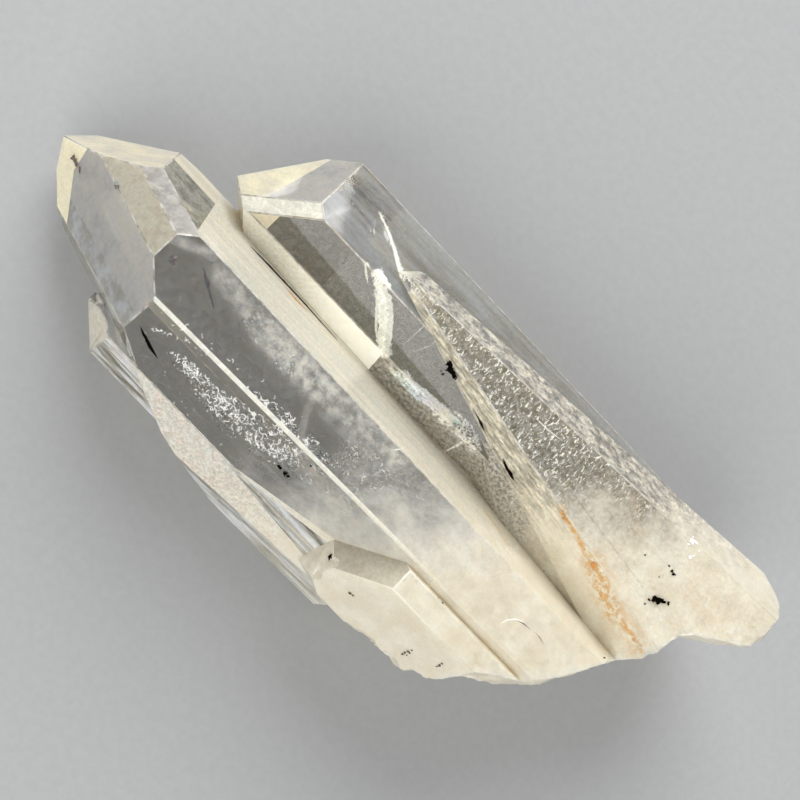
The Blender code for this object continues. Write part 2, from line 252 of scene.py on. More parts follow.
class BodySettings(bpy.types.PropertyGroup):
    """Sizes and colours of the crystal body."""
    edge_width: length_setting("Worn edge width", "Width of the rounded strip along sharp edges", 0.12)
    grain: length_setting("Relief spacing", "Longest mesh edge where a face has fine relief", 0.55)
    hillock_height: length_setting("Hillock height", "Height of the marks on the tapered crystal", 0.10)
    frost_height: length_setting("Frost height", "Height of the grain on frosted faces", 0.06)
    fracture_height: length_setting("Fracture relief", "Height of ripples on the broken root end", 0.22)
    clear: colour_setting("Clear quartz", "Tint of the clear zones", (0.965, 0.98, 0.97))
    milk: colour_setting("Milky quartz", "Colour of the milky root", (0.78, 0.71, 0.555))
    pale_milk: colour_setting("Pale milk", "Lighter patches of the milky root", (0.85, 0.80, 0.66))
    # Partly the tip faces' warm tint, partly a painted reflection of warm light on them.
    beige: colour_setting("Beige faces", "Warm tint of the lit tip faces", (0.95, 0.86, 0.63))
    cream: colour_setting("Cream faces", "Pale warm tint of the side bands", (0.89, 0.82, 0.67))
    pale: colour_setting("Pale faces", "White tint of the brightest faces", (0.95, 0.92, 0.80))
    rosy: colour_setting("Rosy patches", "Warm tint of the frosted side crystal", (0.86, 0.76, 0.65))
    lilac: colour_setting("Lilac faces", "Cool grey tint of some tip faces", (0.76, 0.73, 0.68))
    bluish: colour_setting("Bluish faces", "Blue-grey tint of the far side band", (0.76, 0.80, 0.82))
    olive: colour_setting("Olive faces", "Grey-green tint of some tip faces", (0.72, 0.69, 0.57))
    # Painted shade: dark grey-green for a patch of the main crystal's tip face.
    shade_patch: colour_setting("Dusky face", "Dark grey-green tint of one tip patch", (0.22, 0.22, 0.17))
    # Painted shade: grey that darkens the second crystal's clear window.
    dim: colour_setting("Dim face", "Grey tint of the second crystal's window", (0.42, 0.425, 0.40))
    stain: colour_setting("Iron stain", "Colour of the iron stain in seams", (0.64, 0.36, 0.10))
    absorption: colour_setting("Absorption", "Tint of light that crosses the quartz", (0.93, 0.91, 0.86))
    root_clearness: bpy.props.FloatProperty(
        name="Clearness at the root", description="How much light still passes the milky root",
        default=0.14, min=0.0, max=1.0)
    absorption_density: bpy.props.FloatProperty(
        name="Absorption density", description="How strongly the quartz tints light, per metre",
        default=8.0, min=0.0)


class StageSettings(bpy.types.PropertyGroup):
    """Floor, lights and surroundings."""
    floor_size: length_setting("Floor size", "Side of the square floor", 4000.0)
    floor: colour_setting("Floor colour", "Colour of the plain pale floor", (0.42, 0.425, 0.425))
    key_power: bpy.props.FloatProperty(
        name="Key light", description="Power of the large soft key light",
        default=10.5, min=0.0, unit="POWER")
    fill_power: bpy.props.FloatProperty(
        name="Fill light", description="Power of the low fill light",
        default=7.0, min=0.0, unit="POWER")
    sky_strength: bpy.props.FloatProperty(
        name="Surroundings", description="Brightness of the plain grey surroundings",
        default=0.40, min=0.0)


def camera_axes():
    """Right, up and backward directions of the camera."""
    azimuth, elevation, roll = CAMERA_AZIMUTH, CAMERA_ELEVATION, CAMERA_ROLL
    back = Vector((
        math.sin(azimuth) * math.cos(elevation),
        -math.cos(azimuth) * math.cos(elevation),
        math.sin(elevation),
    ))
    level_right = Vector((math.cos(azimuth), math.sin(azimuth), 0.0))
    level_up = back.cross(level_right)
    right = math.cos(roll) * level_right + math.sin(roll) * level_up
    up = math.cos(roll) * level_up - math.sin(roll) * level_right
    return right, up, back


def camera_place():
    return CAMERA_TARGET + camera_axes()[2] * CAMERA_DISTANCE


def pixel_direction(pixel):
    """Direction from the camera through a pixel of the picture."""
    right, up, back = camera_axes()
    reach = LENS / SENSOR_WIDTH * PICTURE_SIZE
    across = pixel[0] - PICTURE_SIZE / 2
    down = pixel[1] - PICTURE_SIZE / 2
    return (right * across - up * down - back * reach).normalized()


FLAT_ANGLE = math.radians(0.3)


def merged_body():
    """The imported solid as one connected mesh, with its flat faces whole again."""
    mesh_data = bmesh.new()
    mesh_data.from_mesh(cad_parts[CAD_NODE].data)
    bmesh.ops.remove_doubles(mesh_data, verts=mesh_data.verts[:], dist=1e-6)
    bmesh.ops.dissolve_limit(
        mesh_data, angle_limit=FLAT_ANGLE, verts=mesh_data.verts[:], edges=mesh_data.edges[:])
    return mesh_data


class Quartz:
    """The solid that pixels are followed onto and into."""
    tree = None

    @classmethod
    def measure(cls):
        mesh_data = merged_body()
        cls.tree = BVHTree.FromBMesh(mesh_data)
        mesh_data.free()

    @classmethod
    def surface(cls, pixel):
        """Point where the ray through a pixel meets the quartz, with the face's outward direction."""
        place, normal, _, _ = cls.tree.ray_cast(camera_place(), pixel_direction(pixel))
        if place is None:
            raise RuntimeError("no quartz under pixel %s" % (pixel,))
        return place, normal

    @classmethod
    def inside(cls, pixel, depth):
        """Point that shows at a pixel from a depth inside the quartz, by the bent ray."""
        place, normal = cls.surface(pixel)
        ray = pixel_direction(pixel)
        ratio = 1.0 / QUARTZ_IOR
        facing = -normal.dot(ray)
        inward = ratio * facing - math.sqrt(1.0 - ratio ** 2 * (1.0 - facing ** 2))
        bent = ray * ratio + normal * inward
        bent.normalize()
        start = place + bent * 0.05 * MM
        end = cls.tree.ray_cast(start, bent)[0]
        room = (end - start).length if end is not None else depth
        return place + bent * min(depth, 0.8 * room)

    @classmethod
    def holds(cls, point, margin=0.15 * MM):
        """Whether a point is inside the quartz, by more than a margin."""
        place, normal, _, distance = cls.tree.find_nearest(point)
        return distance > margin and (point - place).dot(normal) < 0.0


def new_object(name, mesh):
    item = bpy.data.objects.new(name, mesh)
    bpy.context.scene.collection.objects.link(item)
    return item


def finish_piece(item):
    """Hand a finished piece to the frame."""
    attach(item, BODY)


# Shader nodes

def add_node(tree, kind, inputs=None, **settings):
    """Add a node; each input gets a value, or is joined to an output socket."""
    made = tree.nodes.new(kind)
    for name, value in settings.items():
        setattr(made, name, value)
    for name, value in (inputs or {}).items():
        if isinstance(value, bpy.types.NodeSocket):
            tree.links.new(value, made.inputs[name])
        else:
            made.inputs[name].default_value = value
    return made


def calc(tree, operation, first, second=0.0, clamp=False):
    made = add_node(tree, "ShaderNodeMath", {0: first, 1: second}, operation=operation, use_clamp=clamp)
    return made.outputs[0]


def product(tree, first, second):
    return calc(tree, "MULTIPLY", first, second)


def fade(tree, value, low, high, to_low=0.0, to_high=1.0):
    """Smooth step of a value from low to high."""
    inputs = {"Value": value, "From Min": low, "From Max": high, "To Min": to_low, "To Max": to_high}
    return add_node(tree, "ShaderNodeMapRange", inputs, interpolation_type="SMOOTHSTEP").outputs[0]


def vector_calc(tree, operation, first, second=None, output="Vector"):
    """Vector calculation; the second input of a scaling is a number."""
    inputs = {0: first}
    if second is not None:
        inputs["Scale" if operation == "SCALE" else 1] = second
    return add_node(tree, "ShaderNodeVectorMath", inputs, operation=operation).outputs[output]


def place_in_mm(tree):
    return vector_calc(tree, "SCALE", add_node(tree, "ShaderNodeTexCoord").outputs["Object"], 1.0 / MM)


def grain(tree, place, waves, detail=2.0, roughness=0.5, distortion=0.0):
    """Noise from 0 to 1 with a number of waves for each millimetre."""
    inputs = {"Vector": place, "Scale": waves, "Detail": detail, "Roughness": roughness,
              "Distortion": distortion}
    return add_node(tree, "ShaderNodeTexNoise", inputs).outputs["Fac"]


def along(tree, place, direction):
    """Distance along a direction, in millimetres."""
    return vector_calc(tree, "DOT_PRODUCT", place, direction, "Value")


def blend_colour(tree, share, first, second):
    inputs = {"Factor": share}
    made = add_node(tree, "ShaderNodeMix", inputs, data_type="RGBA")
    for socket, value in ((made.inputs[6], first), (made.inputs[7], second)):
        if isinstance(value, bpy.types.NodeSocket):
            tree.links.new(value, socket)
        else:
            socket.default_value = value
    return made.outputs[2]


def line_distance(tree, place, start, end):
    """Distance from a line through two points, in millimetres."""
    offset = vector_calc(tree, "SUBTRACT", place, start / MM)
    crossed = vector_calc(tree, "CROSS_PRODUCT", offset, (end - start).normalized())
    return vector_calc(tree, "LENGTH", crossed, output="Value")


def line_mark(tree, place, first, last, half_width):
    """Soft mask around the line between the surface points under two pixels."""
    start, end = Quartz.surface(first)[0], Quartz.surface(last)[0]
    near = fade(tree, line_distance(tree, place, start, end), half_width, 0.15 * half_width)
    middle = (start + end) / 2
    apart = vector_calc(tree, "DISTANCE", place, middle / MM, "Value")
    reach = (end - start).length / MM / 2
    return product(tree, near, fade(tree, apart, reach + half_width, reach))


def marks_total(tree, place, lines):
    """Strongest mark of a list of lines."""
    total = None
    for first, last, half_width, strength in lines:
        mark = product(tree, line_mark(tree, place, first, last, half_width), strength)
        total = mark if total is None else calc(tree, "MAXIMUM", total, mark)
    return total


def marks_group():
    """Shader group with the shares of iron stain and of cream haze at each place."""
    tree = bpy.data.node_groups.new("quartz_marks", "ShaderNodeTree")
    for name in ("Stain", "Haze"):
        tree.interface.new_socket(name=name, in_out="OUTPUT", socket_type="NodeSocketFloat")
    place = place_in_mm(tree)
    patches = fade(tree, grain(tree, place, *STAIN_NOISE), 0.38, 0.58)
    stain = product(tree, marks_total(tree, place, STAINS), patches)
    fluff = fade(tree, grain(tree, place, *HAZE_NOISE), 0.2, 0.74)
    haze = product(tree, marks_total(tree, place, HAZES), fluff)
    add_node(tree, "NodeGroupOutput", {0: stain, 1: haze})
    return tree


def lengthwise(tree, place):
    """Coordinates drawn out along the crystals, for streaks."""
    return vector_calc(tree, "MULTIPLY", place, STREAK_STRETCH)


def growth_strokes(tree, place):
    """Short thin strokes across the crystal, broken up, as on a face covered with growth marks."""
    squeezed = vector_calc(tree, "MULTIPLY", place, STROKE_STRETCH)
    return fade(tree, grain(tree, squeezed, *STROKE_NOISE), 0.55, 0.62)


def speckled(tree, place, colour, depth):
    """The same colour, lighter and darker in fine grains."""
    fine = fade(tree, grain(tree, place, *SPECKLE_NOISE), 0.34, 0.66, -1.0, 0.5)
    fine = calc(tree, "ADD", product(tree, fine, depth), 1.0)
    return vector_calc(tree, "SCALE", colour, fine)


def glow_ramp(tree, place, colour, first, last):
    """Painted light: the same colour as a glow, faint at the surface point under the first pixel and full
    at the last.
    """
    start, end = Quartz.surface(first)[0] / MM, Quartz.surface(last)[0] / MM
    direction = (end - start).normalized()
    way = along(tree, place, direction)
    share = fade(tree, way, start.dot(direction), end.dot(direction), FAINTEST_GLOW)
    return vector_calc(tree, "SCALE", colour, share)


def quartz_material(name, settings, first_colour, second_colour, roughness, clear_share, mottling,
                    waves, relief=0.0, relief_waves=0.0, speckle=0.12, streaks=False, strokes=False,
                    glow=0.0, glow_ends=None, milk_range=MILK_RANGE, marked=False):
    """One finish of quartz: as asked towards the tips, milky and rough towards the root."""
    material = bpy.data.materials.new(name)
    material.use_nodes = True
    tree = material.node_tree
    shader = tree.nodes["Principled BSDF"]
    output = tree.nodes["Material Output"]
    place = place_in_mm(tree)
    rootward = along(tree, place, ROOT_DIRECTION)
    wisps = grain(tree, place, *WISP_NOISE)
    wandering = product(tree, calc(tree, "SUBTRACT", wisps, 0.5), MILK_WANDER)
    milk = fade(tree, calc(tree, "ADD", rootward, wandering), *milk_range)
    pattern_place = lengthwise(tree, place) if streaks else place
    pattern = grain(tree, pattern_place, waves, 5.0, 0.62)
    mottled_milk = blend_colour(tree, fade(tree, grain(tree, place, *MILK_NOISE), 0.35, 0.7),
                                settings.milk, settings.pale_milk)
    first_tint = blend_colour(tree, fade(tree, pattern, 0.35, 0.65), first_colour, second_colour)
    colour = blend_colour(tree, milk, first_tint, mottled_milk)
    clear = product(tree, fade(tree, pattern, 0.3, 0.7, 1.0 - mottling, 1.0), clear_share)
    root_clear = fade(tree, grain(tree, place, *ROOT_NOISE), 0.40, 0.75,
                      settings.root_clearness, settings.root_clearness + 0.22)
    clear = product(tree, clear, fade(tree, milk, 0.0, 1.0, 1.0, root_clear))
    if marked:
        marks = add_node(tree, "ShaderNodeGroup", node_tree=bpy.data.node_groups["quartz_marks"]).outputs
        colour = blend_colour(tree, marks["Haze"], colour, settings.cream)
        colour = blend_colour(tree, marks["Stain"], colour, settings.stain)
        clear = product(tree, clear, fade(tree, marks["Stain"], 0.0, 1.0, 1.0, 0.1))
        clear = product(tree, clear, fade(tree, marks["Haze"], 0.0, 1.0, 1.0, 0.25))
    if strokes:
        lines = product(tree, growth_strokes(tree, place), fade(tree, milk, 0.0, 0.7, 1.0, 0.15))
        colour = blend_colour(tree, lines, colour, settings.pale)
        clear = product(tree, clear, fade(tree, lines, 0.0, 1.0, 1.0, 0.25))
    depth = fade(tree, milk, 0.3, 0.9, speckle, min(speckle, ROOT_SPECKLE))
    colour = speckled(tree, place, colour, depth)
    tree.links.new(colour, shader.inputs["Base Color"])
    # Painted light: a finish with a glow shines in its own colour.
    if glow:
        shine = glow_ramp(tree, place, colour, *glow_ends) if glow_ends else colour
        tree.links.new(shine, shader.inputs["Emission Color"])
        shader.inputs["Emission Strength"].default_value = glow
        material.cycles.emission_sampling = "NONE"
    tree.links.new(clear, shader.inputs["Transmission Weight"])
    tree.links.new(fade(tree, milk, 0.3, 1.0, roughness, ROOT_ROUGHNESS), shader.inputs["Roughness"])
    shader.inputs["IOR"].default_value = QUARTZ_IOR
    shader.inputs["Subsurface Weight"].default_value = SCATTER_SHARE
    shader.inputs["Subsurface Radius"].default_value = SCATTER_RADIUS
    shader.inputs["Subsurface Scale"].default_value = SCATTER_REACH
    if relief:
        bump = add_node(tree, "ShaderNodeBump", {
            "Height": grain(tree, pattern_place, relief_waves), "Distance": relief * MM, "Strength": 1.0})
        tree.links.new(bump.outputs[0], shader.inputs["Normal"])
    volume = add_node(tree, "ShaderNodeVolumeAbsorption", {
        "Color": settings.absorption, "Density": settings.absorption_density})
    tree.links.new(volume.outputs[0], output.inputs["Volume"])
    return material


def body_materials(settings):
    """Materials of the crystal body, in the order of the finishes."""
    marks_group()
    for name, first_name, second_name, values in FINISH_LOOKS:
        first = getattr(settings, first_name)
        second = getattr(settings, second_name or first_name)
        yield quartz_material(name, settings, first, second, **values)


# Crystal body

def face_under(mesh_data, pixel):
    mesh_data.faces.ensure_lookup_table()
    _, _, index, _ = BVHTree.FromBMesh(mesh_data).ray_cast(camera_place(), pixel_direction(pixel))
    if index is None:
        raise RuntimeError("no face under pixel %s" % (pixel,))
    return mesh_data.faces[index]


def cut_faces(mesh_data):
    """Part faces along the lines named above, seen from the camera."""
    for pixel, first, last in FACE_CUTS:
        face = face_under(mesh_data, pixel)
        across = pixel_direction(first).cross(pixel_direction(last)).normalized()
        bmesh.ops.bisect_plane(
            mesh_data, geom=[face] + face.edges[:] + face.verts[:], dist=1e-8,
            plane_co=camera_place(), plane_no=across)


def mark_finishes(mesh_data):
    """Give each face its finish, from the pixels named above and from its place."""
    for face in mesh_data.faces:
        middle = face.calc_center_median() / MM
        rootward = middle.dot(Vector(ROOT_DIRECTION))
        small = face.calc_area() < LARGEST_FRACTURE_FACE
        turned = face.normal.dot(Vector(ROOT_DIRECTION)) > FRACTURE_TURN
        if small and rootward > FRACTURE_START and turned:
            face.material_index = FRACTURE
    for finish, pixels in FACE_FINISHES.items():
        for pixel in pixels:
            face_under(mesh_data, pixel).material_index = finish


LEAST_EDGE_ANGLE = math.radians(9.0)
LEAST_EDGE_LENGTH = 1.5 * MM


def wear_edges(mesh_data, width):
    """Round the sharp outward edges a little."""
    worn = []
    for edge in mesh_data.edges:
        if not edge.is_manifold or not edge.is_convex:
            continue
        if any(face.material_index == RIDGE for face in edge.link_faces):
            continue
        if edge.calc_face_angle() < LEAST_EDGE_ANGLE or edge.calc_length() < LEAST_EDGE_LENGTH:
            continue
        if any(face.material_index == FRACTURE for face in edge.link_faces):
            continue
        worn.append(edge)
    bmesh.ops.bevel(
        mesh_data, geom=worn, offset=width, offset_type="OFFSET", segments=2, profile=0.5,
        affect="EDGES", clamp_overlap=False, material=WORN_EDGE)


def fresh_copy(mesh_data):
    """The same mesh with its links in a fixed order, so that its triangles are the same each time."""
    fresh = mesh_data.copy()
    mesh_data.free()
    return fresh


MOST_SPLITS = 12


def refine(mesh_data, finishes, longest):
    """Split the faces that carry relief until no edge there is longer than asked."""
    bmesh.ops.triangulate(mesh_data, faces=mesh_data.faces[:])
    for _ in range(MOST_SPLITS):
        rough = [face for face in mesh_data.faces if face.material_index in finishes]
        edges = dict.fromkeys(edge for face in rough for edge in face.edges)
        long_edges = [edge for edge in edges if edge.calc_length() > longest]
        if not long_edges:
            break
        bmesh.ops.subdivide_edges(mesh_data, edges=long_edges, cuts=1)
        bmesh.ops.triangulate(mesh_data, faces=[f for f in mesh_data.faces if len(f.verts) > 3])


HILLOCK_STRETCH = (1.25, 0.7, 1.0)
HILLOCKS_PER_MM = 1.15
HILLOCK_OFFSETS = ((0.0, 0.0, 0.0), (31.4, 0.0, 0.0), (0.0, 47.1, 0.0))


def hillocks(place):
    """Overlapping growth mounds, drawn out along the crystal."""
    stretched = Vector([part * factor for part, factor in zip(place, HILLOCK_STRETCH)]) / MM
    bend = Vector([noise.noise(stretched * 0.6 + Vector(offset)) for offset in HILLOCK_OFFSETS])
    warped = stretched + 0.5 * bend
    distances = noise.voronoi(warped * HILLOCKS_PER_MM)[0]
    return (distances[1] - distances[0]) * 1.2 - 0.4


def frost(place):
    return noise.fractal(place / MM * 2.2, 0.9, 2.1, 3)


def fracture_ripples(place):
    base = noise.fractal(place / MM * 0.45, 0.9, 2.0, 4)
    ridges = 1.0 - abs(noise.noise(place / MM * 0.8)) * 2.0
    return base + 0.4 * ridges


def carve(mesh_data, relief):
    """Move the points inside each finish zone along their normals by its relief."""
    mesh_data.normal_update()
    moves = []
    for vertex in mesh_data.verts:
        finishes = {face.material_index for face in vertex.link_faces}
        if len(finishes) == 1:
            finish = finishes.pop()
            if finish in relief:
                height, pattern = relief[finish]
                moves.append((vertex, vertex.normal * height * pattern(vertex.co)))
    for vertex, move in moves:
        vertex.co += move


SHARP_ANGLE = math.radians(28.0)


class QUARTZ_OT_body(bpy.types.Operator):
    """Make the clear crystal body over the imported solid"""
    bl_idname = "quartz.body"
    bl_label = "Crystal body"

    def execute(self, context):
        settings = context.scene.quartz_body
        mesh_data = merged_body()
        cut_faces(mesh_data)
        mark_finishes(mesh_data)
        wear_edges(mesh_data, settings.edge_width)
        mesh_data = fresh_copy(mesh_data)
        refine(mesh_data, (HILLOCKS, FROSTED, FRACTURE), settings.grain)
        carve(mesh_data, {
            HILLOCKS: (settings.hillock_height, hillocks),
            FROSTED: (settings.frost_height, frost),
            FRACTURE: (settings.fracture_height, fracture_ripples),
        })
        mesh = bpy.data.meshes.new("quartz_body")
        mesh_data.to_mesh(mesh)
        mesh_data.free()
        for material in body_materials(settings):
            mesh.materials.append(material)
        mesh.shade_smooth()
        mesh.set_sharp_from_angle(angle=SHARP_ANGLE)
        curved = (WORN_EDGE, HILLOCKS, FROSTED, FRACTURE, RIDGE)
        for face in mesh.polygons:
            face.use_smooth = face.material_index in curved
        item = new_object("quartz_body", mesh)
        finish_piece(item)
        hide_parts(CAD_NODE)
        return {"FINISHED"}


# Flakes scattered on hidden sheets inside the quartz

def flake_tree():
    """Geometry nodes that scatter small closed flakes over a sheet, in clumps."""
    tree = bpy.data.node_groups.new("scattered_flakes", "GeometryNodeTree")
    sockets = (
        ("Sheet", "NodeSocketGeometry"),
        ("Flakes per area", "NodeSocketFloat"),
        ("Smallest", "NodeSocketFloat"),
        ("Largest", "NodeSocketFloat"),
        ("Tilt", "NodeSocketFloat"),
        ("Clump waves", "NodeSocketFloat"),
        ("Bare share", "NodeSocketFloat"),
        ("Strokes", "NodeSocketBool"),
        ("Seed", "NodeSocketInt"),
        ("Finish", "NodeSocketMaterial"),
    )
    for name, kind in sockets:
        tree.interface.new_socket(name=name, in_out="INPUT", socket_type=kind)
    tree.interface.new_socket(name="Flakes", in_out="OUTPUT", socket_type="NodeSocketGeometry")
    given = add_node(tree, "NodeGroupInput").outputs
    position = add_node(tree, "GeometryNodeInputPosition").outputs[0]
    clumps = add_node(tree, "ShaderNodeTexNoise", {
        "Vector": position, "Scale": given["Clump waves"], "Detail": 4.0, "Roughness": 0.7}).outputs[0]
    full = calc(tree, "ADD", given["Bare share"], 0.16)
    share = add_node(tree, "ShaderNodeMapRange", {
        "Value": clumps, "From Min": given["Bare share"], "From Max": full}).outputs[0]
    points = add_node(tree, "GeometryNodeDistributePointsOnFaces", {
        "Mesh": given["Sheet"], "Density": product(tree, given["Flakes per area"], share),
        "Seed": given["Seed"]})
    flake = add_node(tree, "GeometryNodeMeshCone", {
        "Vertices": 4, "Side Segments": 1, "Fill Segments": 1, "Radius Top": 0.0,
        "Radius Bottom": 0.5, "Depth": 0.16})
    sweep = math.radians(130.0)
    arc = add_node(tree, "GeometryNodeCurveArc", {
        "Resolution": 6, "Radius": 0.5, "Start Angle": -sweep / 2, "Sweep Angle": sweep}, mode="RADIUS")
    progress = add_node(tree, "GeometryNodeSplineParameter").outputs["Factor"]
    swell = product(tree, progress, calc(tree, "SUBTRACT", 1.0, progress))
    swelling = calc(tree, "ADD", product(tree, swell, 3.2), 0.2)
    tapered = add_node(tree, "GeometryNodeSetCurveRadius", {
        "Curve": arc.outputs["Curve"], "Radius": swelling})
    outline = add_node(tree, "GeometryNodeCurvePrimitiveCircle", {"Resolution": 3, "Radius": 0.09},
                       mode="RADIUS")
    hair = add_node(tree, "GeometryNodeCurveToMesh", {
        "Curve": tapered.outputs[0], "Profile Curve": outline.outputs["Curve"], "Fill Caps": True})
    hair = add_node(tree, "GeometryNodeTransform", {
        "Geometry": hair.outputs[0], "Translation": (-0.5, 0.0, 0.0)})
    shape = add_node(tree, "GeometryNodeSwitch", {
        "Switch": given["Strokes"], "False": flake.outputs["Mesh"], "True": hair.outputs[0]},
        input_type="GEOMETRY")
    tilt_back = product(tree, given["Tilt"], -1.0)
    tilts = []
    for low, high in ((tilt_back, given["Tilt"]), (tilt_back, given["Tilt"]), (-math.pi, math.pi)):
        tilts.append(random_number(tree, low, high, given["Seed"], len(tilts)))
    turn = add_node(tree, "ShaderNodeCombineXYZ", {0: tilts[0], 1: tilts[1], 2: tilts[2]})
    turned = add_node(tree, "FunctionNodeEulerToRotation", {0: turn.outputs[0]})
    rotation = add_node(tree, "FunctionNodeRotateRotation", {
        0: points.outputs["Rotation"], 1: turned.outputs[0]}, rotation_space="LOCAL")
    draw = calc(tree, "POWER", random_number(tree, 0.0, 1.0, given["Seed"], 3), 3.0)
    size = add_node(tree, "ShaderNodeMapRange", {
        "Value": draw, "To Min": given["Smallest"], "To Max": given["Largest"]}).outputs[0]
    narrow = product(tree, size, random_number(tree, 0.3, 1.0, given["Seed"], 4))
    scale = add_node(tree, "ShaderNodeCombineXYZ", {0: size, 1: narrow, 2: size})
    placed = add_node(tree, "GeometryNodeInstanceOnPoints", {
        "Points": points.outputs["Points"], "Instance": shape.outputs[0],
        "Rotation": rotation.outputs[0], "Scale": scale.outputs[0]})
    real = add_node(tree, "GeometryNodeRealizeInstances", {0: placed.outputs[0]})
    finished = add_node(tree, "GeometryNodeSetMaterial", {
        "Geometry": real.outputs[0], "Material": given["Finish"]})
    add_node(tree, "NodeGroupOutput", {0: finished.outputs[0]})
    return tree


def random_number(tree, low, high, seed, step):
    """Random number for each point; step keeps the draws apart."""
    made = add_node(tree, "FunctionNodeRandomValue", data_type="FLOAT")
    sockets = {socket.identifier: socket for socket in made.inputs}
    own_seed = calc(tree, "ADD", seed, step * 17.0)
    for name, value in (("Min_001", low), ("Max_001", high), ("Seed", own_seed)):
        if isinstance(value, bpy.types.NodeSocket):
            tree.links.new(value, sockets[name])
        else:
            sockets[name].default_value = value
    return next(socket for socket in made.outputs if socket.identifier == "Value_001")


def resampled(path, step):
    """Points along a path of (pixel x, pixel y, width, depth), about a number of pixels apart."""
    points = []
    for start, end in zip(path, path[1:]):
        length = math.hypot(end[0] - start[0], end[1] - start[1])
        count = max(1, round(length / step))
        for index in range(count):
            share = index / count
            points.append([a + (b - a) * share for a, b in zip(start, end)])
    points.append(list(path[-1]))
    return points


def add_sheet(mesh_data, path, lean, columns=7, waviness=0.25):
    """Wavy strip inside the quartz along a path, leaning about the path from facing the camera."""
    rows = []
    stations = resampled(path, 6.0)
    middles = [Quartz.inside((x, y), depth * MM) for x, y, _, depth in stations]
    for index, (station, middle) in enumerate(zip(stations, middles)):
        before, after = middles[max(0, index - 1)], middles[min(len(middles) - 1, index + 1)]
        forward = (after - before).normalized()
        across = forward.cross(pixel_direction(station[:2])).normalized()
        across.rotate(Matrix.Rotation(math.radians(lean), 3, forward))
        rise = forward.cross(across)
        row = []
        for column in range(columns):
            aside = (column / (columns - 1) - 0.5) * station[2] * MM
            wave = noise.noise((middle + across * aside) / MM * 0.35) * waviness * station[2] * MM
            point = middle + across * aside + rise * wave
            row.append(mesh_data.verts.new(point) if Quartz.holds(point) else None)
        rows.append(row)
    for here, there in zip(rows, rows[1:]):
        for column in range(columns - 1):
            corners = (here[column], here[column + 1], there[column + 1], there[column])
            if None not in corners:
                mesh_data.faces.new(corners)


def scatter(name, paths, lean, tilt, per_area, smallest, largest, clump, bare, seed, look_name, strokes):
    """Flakes over sheets along the paths, as one piece; sizes and clumps are in millimetres."""
    mesh_data = bmesh.new()
    for path in paths:
        add_sheet(mesh_data, path, lean)
    sheet = bpy.data.meshes.new(name + "_sheet")
    mesh_data.to_mesh(sheet)
    mesh_data.free()
    carrier = new_object(name + "_sheet", sheet)
    modifier = carrier.modifiers.new("flakes", "NODES")
    modifier.node_group = bpy.data.node_groups.get("scattered_flakes") or flake_tree()
    values = {
        "Flakes per area": per_area / MM ** 2,
        "Smallest": smallest * MM,
        "Largest": largest * MM,
        "Tilt": math.radians(tilt),
        "Clump waves": 1.0 / (clump * MM),
        "Bare share": bare,
        "Strokes": strokes,
        "Seed": seed,
        "Finish": plain_material(look_name),
    }
    for socket in modifier.node_group.interface.items_tree:
        if socket.in_out == "INPUT" and socket.name in values:
            modifier[socket.identifier] = values[socket.name]
    depsgraph = bpy.context.evaluated_depsgraph_get()
    flakes = bpy.data.meshes.new_from_object(carrier.evaluated_get(depsgraph))
    flakes.name = name
    bpy.data.objects.remove(carrier)
    bpy.data.meshes.remove(sheet)
    finish_piece(new_object(name, flakes))


def plain_material(name):
    """One of the enclosed looks, with a soft change of tone."""
    material = bpy.data.materials.get(name)
    if material:
        return material
    colour, roughness, glow, shine = ENCLOSED_LOOKS[name]
    material = bpy.data.materials.new(name)
    material.use_nodes = True
    tree = material.node_tree
    shader = tree.nodes["Principled BSDF"]
    tone = fade(tree, grain(tree, place_in_mm(tree), *TONE_NOISE), 0.3, 0.7)
    darker = tuple(0.72 * part for part in colour) + (1.0,)
    tree.links.new(blend_colour(tree, tone, darker, colour + (1.0,)), shader.inputs["Base Color"])
    shader.inputs["Roughness"].default_value = roughness
    shader.inputs["Specular IOR Level"].default_value = shine
    # Painted light: the flakes and cracks glow in their own colour, in place of the light they throw
    # back.
    if glow:
        shader.inputs["Emission Color"].default_value = colour + (1.0,)
        shader.inputs["Emission Strength"].default_value = glow
        material.cycles.emission_sampling = "NONE"
    return material


# What is enclosed in the quartz: colour, roughness, a glow of painted light in place of the light its
# cracks throw back, and shine
ENCLOSED_LOOKS = {
    "veil_white": ((0.95, 0.94, 0.90), 0.35, 0.38, 0.5),
    "crack_silver": ((0.97, 0.96, 0.93), 0.25, 0.5, 0.5),
    "crack_bright": ((0.97, 0.96, 0.92), 0.25, 0.7, 0.5),
    "crack_lemon": ((0.97, 0.95, 0.82), 0.3, 0.9, 0.5),
    "rainbow_film": ((0.9, 0.9, 0.88), 0.2, 0.65, 0.5),
    "speck_white": ((0.96, 0.95, 0.92), 0.3, 0.2, 0.5),
    "black_mineral": ((0.006, 0.005, 0.004), 0.6, 0.0, 0.0),
    "rusty_mineral": ((0.76, 0.36, 0.10), 0.6, 0.0, 0.5),
    "smoky_mineral": ((0.17, 0.14, 0.12), 0.5, 0.0, 0.5),
    "gap_shade": ((0.03, 0.03, 0.026), 0.5, 0.0, 0.1),
}

